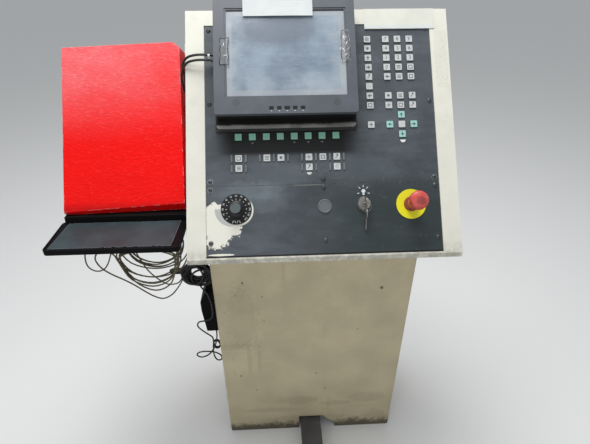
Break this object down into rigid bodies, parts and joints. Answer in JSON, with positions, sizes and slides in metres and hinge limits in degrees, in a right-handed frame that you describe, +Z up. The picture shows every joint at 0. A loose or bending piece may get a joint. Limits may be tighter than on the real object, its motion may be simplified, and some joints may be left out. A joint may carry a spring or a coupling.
{
  "type": "machine control console",
  "caption": "Pedestal console of a factory machine: sloping two-part key panel, flat monitor, round controls, and a red hooded side terminal over a tray.",
  "frame": {"origin": "middle of the pedestal's footprint, on the floor under the foot beam", "axes": "+Z up, -Y towards the operator, +X to the operator's right; the monitor and its panel face -Y and up"},
  "size_m": [0.838, 0.465, 1.2133],
  "materials": {
    "cream_paint": "semi-gloss enamel with worn and dirty edges",
    "khaki_paint": "semi-gloss enamel, stained and streaked",
    "charcoal_paint": "fine textured powder coat",
    "dark_paint": "worn matt paint",
    "zinc_steel": "zinc plated, dull",
    "dark_steel": "blackened",
    "bright_steel": "nickel plated, lightly scratched",
    "black_plastic": "fine grained",
    "bezel_plastic": "satin",
    "grey_plastic": "satin",
    "screen_glass": "anti-glare, dusty",
    "black_rubber": "matt",
    "mat_rubber": "matt, ribbed",
    "key_grey": "matt, dark marks on pale keys",
    "key_green": "matt",
    "key_white": "matt, dark marks on pale keys",
    "board_green": "circuit board with clear lacquer",
    "contact_red": "moulded",
    "stop_red": "polished",
    "stop_yellow": "satin, dirty edge",
    "hood_red": "coarse leather grain, scuffed at the edges",
    "strap_grey": "pale grey enamel",
    "olive_jacket": "matt, dusty",
    "black_jacket": "satin"
  },
  "bodies": {
    "console": {"pedestal_shell": "khaki_paint", "foot_beam": "dark_paint", "foot_end_cap": "black_plastic", "beam_bridge": "zinc_steel", "hinge_pins": "zinc_steel", "mounting_plate": "zinc_steel", "power_supply": "dark_paint", "desk_shell": "cream_paint", "desk_bolts": "zinc_steel", "desk_rear_cover": "cream_paint", "cover_screws": "zinc_steel", "upper_panel": "charcoal_paint", "lower_panel": "charcoal_paint", "panel_screws": "dark_steel", "monitor_bezel": "bezel_plastic", "monitor_shell": "black_plastic", "monitor_glass": "screen_glass", "monitor_bracket": "zinc_steel", "screen_gasket": "black_rubber", "keymat_main": "key_grey", "keymat_softkeys": "key_green", "keymat_function": "key_white", "key_guards": "bezel_plastic", "keypad_board": "board_green", "override_dial": "black_plastic", "override_switch": "dark_steel", "blanking_plug": "grey_plastic", "key_switch": "bright_steel", "estop_plate": "stop_yellow", "estop_collar": "black_plastic", "estop_contacts": "contact_red", "side_tray": "black_plastic", "tray_mat": "mat_rubber", "shelf_bracket": "zinc_steel", "terminal_unit": "black_plastic", "terminal_strap": "strap_grey", "red_cover": "hood_red", "power_adapter": "black_plastic", "black_coil": "black_jacket", "coil_plug": "black_plastic", "monitor_cable_a": "black_jacket", "monitor_cable_b": "black_jacket", "olive_cable_a": "olive_jacket", "olive_cable_b": "olive_jacket", "adapter_lead": "black_jacket", "cable_glands": "black_plastic"},
    "door": {"service_door": "khaki_paint"},
    "door_lock": {"door_lock": "bright_steel"},
    "override_knob": {"override_knob": "grey_plastic"},
    "lock_barrel": {"key_barrel": "bright_steel", "switch_key": "bright_steel"},
    "hanging_key": {"key_ring": "bright_steel", "spare_key": "bright_steel"},
    "button_1": {"monitor_button_1": "black_plastic"},
    "button_2": {"monitor_button_2": "black_plastic"},
    "button_3": {"monitor_button_3": "black_plastic"},
    "button_4": {"monitor_button_4": "black_plastic"},
    "button_5": {"monitor_button_5": "black_plastic"},
    "stop_plunger": {"estop_plunger": "zinc_steel"},
    "stop_head": {"estop_mushroom": "stop_red"}
  },
  "joints": [
    {"name": "door_hinge", "type": "hinge", "parent": "console", "child": "door", "pos_m": [-0.218, 0.143, 0.39], "axis": [0, 0, 1], "range_deg": [0, 110]},
    {"name": "door_lock_turn", "type": "hinge", "parent": "door", "child": "door_lock", "pos_m": [0.184, 0.14, 0.39], "axis": [0, -1, 0], "range_deg": [0, 90]},
    {"name": "knob_turn", "type": "hinge", "parent": "console", "child": "override_knob", "pos_m": [-0.1685, -0.19265, 0.84135], "axis": [0, -0.7934, 0.6088], "range_deg": [-135, 135]},
    {"name": "lock_turn", "type": "hinge", "parent": "console", "child": "lock_barrel", "pos_m": [0.094, -0.18991, 0.84492], "axis": [0, -0.7934, 0.6088], "range_deg": [0, 90]},
    {"name": "hanging_key_swing", "type": "hinge", "parent": "lock_barrel", "child": "hanging_key", "pos_m": [0.094, -0.21133, 0.86136], "axis": [-1, 0, 0], "range_deg": [0, 80]},
    {"name": "stop_push", "type": "slide", "parent": "console", "child": "stop_plunger", "axis": [0, -0.7934, 0.6088], "range_m": [-0.005, 0]},
    {"name": "stop_turn", "type": "hinge", "parent": "stop_plunger", "child": "stop_head", "pos_m": [0.192, -0.20284, 0.85106], "axis": [0, -0.7934, 0.6088], "range_deg": [0, 40]},
    {"name": "button_1_push", "type": "slide", "parent": "console", "child": "button_1", "axis": [0, -0.7934, 0.6088], "range_m": [-0.001, 0], "stiffness_N_per_m": 400, "springref_m": 0.0005},
    {"name": "button_2_push", "type": "slide", "parent": "console", "child": "button_2", "axis": [0, -0.7934, 0.6088], "range_m": [-0.001, 0], "stiffness_N_per_m": 400, "springref_m": 0.0005},
    {"name": "button_3_push", "type": "slide", "parent": "console", "child": "button_3", "axis": [0, -0.7934, 0.6088], "range_m": [-0.001, 0], "stiffness_N_per_m": 400, "springref_m": 0.0005},
    {"name": "button_4_push", "type": "slide", "parent": "console", "child": "button_4", "axis": [0, -0.7934, 0.6088], "range_m": [-0.001, 0], "stiffness_N_per_m": 400, "springref_m": 0.0005},
    {"name": "button_5_push", "type": "slide", "parent": "console", "child": "button_5", "axis": [0, -0.7934, 0.6088], "range_m": [-0.001, 0], "stiffness_N_per_m": 400, "springref_m": 0.0005}
  ]
}
